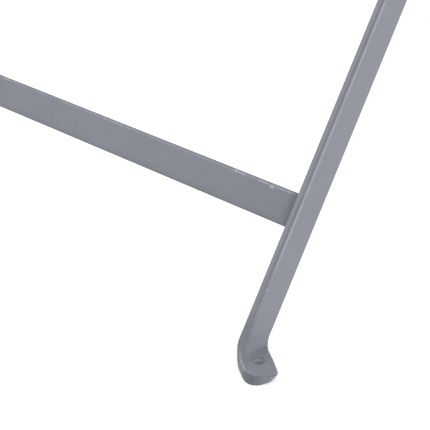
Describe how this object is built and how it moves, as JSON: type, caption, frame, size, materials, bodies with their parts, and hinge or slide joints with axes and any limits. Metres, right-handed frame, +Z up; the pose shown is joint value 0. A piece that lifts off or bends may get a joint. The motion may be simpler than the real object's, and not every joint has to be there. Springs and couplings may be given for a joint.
{
  "type": "folding sawhorse",
  "caption": "Folding steel sawhorse: two hinged, crossbar-braced flat-bar leg frames with folded-out feet, angle-iron top rails and elbow stays.",
  "frame": {"origin": "centre of the footprint on the floor, under the hinge line", "axes": "+X along the top rails, +Y from the front frame to the back frame, +Z up; stored standing open"},
  "size_m": [0.706, 1.0902, 0.87],
  "materials": {
    "grey_paint": "satin bluish grey paint",
    "pivot_steel": "zinc-plated steel"
  },
  "bodies": {
    "front_frame": {"front_right_leg": "grey_paint", "front_left_leg": "grey_paint", "front_crossbar": "grey_paint", "front_top_rail": "grey_paint", "front_right_hinge_leaf": "grey_paint", "front_left_hinge_leaf": "grey_paint", "right_hinge_pin": "pivot_steel", "left_hinge_pin": "pivot_steel", "front_hinge_rivets": "pivot_steel", "right_front_stay_rivet": "pivot_steel", "left_front_stay_rivet": "pivot_steel", "right_stay_washer": "pivot_steel", "left_stay_washer": "pivot_steel", "front_crossbar_welds": "grey_paint", "front_rail_welds": "grey_paint"},
    "back_frame": {"back_right_leg": "grey_paint", "back_left_leg": "grey_paint", "back_crossbar": "grey_paint", "back_top_rail": "grey_paint", "back_right_hinge_leaf": "grey_paint", "back_left_hinge_leaf": "grey_paint", "back_hinge_rivets": "pivot_steel", "right_back_stay_rivet": "pivot_steel", "left_back_stay_rivet": "pivot_steel", "right_stay_spacer": "pivot_steel", "left_stay_spacer": "pivot_steel", "back_crossbar_welds": "grey_paint", "back_rail_welds": "grey_paint"},
    "right_front_stay": {"right_front_stay_link": "grey_paint", "right_elbow_rivet_shank": "pivot_steel"},
    "left_front_stay": {"left_front_stay_link": "grey_paint", "left_elbow_rivet_shank": "pivot_steel"},
    "right_back_stay": {"right_back_stay_link": "grey_paint", "right_elbow_rivet_head": "pivot_steel"},
    "left_back_stay": {"left_back_stay_link": "grey_paint", "left_elbow_rivet_head": "pivot_steel"}
  },
  "joints": [
    {"name": "fold", "type": "hinge", "parent": "front_frame", "child": "back_frame", "pos_m": [0, 0, 0.821], "axis": [-1, 0, 0], "range_deg": [0, 62]},
    {"name": "right_front_stay_pivot", "type": "hinge", "parent": "front_frame", "child": "right_front_stay", "pos_m": [0.2917, -0.1326, 0.63235], "axis": [1, 0, 0], "range_deg": [0, 51.86]},
    {"name": "right_back_stay_pivot", "type": "hinge", "parent": "back_frame", "child": "right_back_stay", "pos_m": [0.2873, 0.1326, 0.63235], "axis": [-1, 0, 0], "range_deg": [0, 51.86]},
    {"name": "left_front_stay_pivot", "type": "hinge", "parent": "front_frame", "child": "left_front_stay", "pos_m": [-0.2917, -0.1326, 0.63235], "axis": [1, 0, 0], "range_deg": [0, 51.86]},
    {"name": "left_back_stay_pivot", "type": "hinge", "parent": "back_frame", "child": "left_back_stay", "pos_m": [-0.2873, 0.1326, 0.63235], "axis": [-1, 0, 0], "range_deg": [0, 51.86]}
  ],
  "couplings": [
    {"joint": "right_front_stay_pivot", "follows": "fold", "ratio": 0.83632},
    {"joint": "right_back_stay_pivot", "follows": "fold", "ratio": 0.83632},
    {"joint": "left_front_stay_pivot", "follows": "fold", "ratio": 0.83632},
    {"joint": "left_back_stay_pivot", "follows": "fold", "ratio": 0.83632}
  ]
}
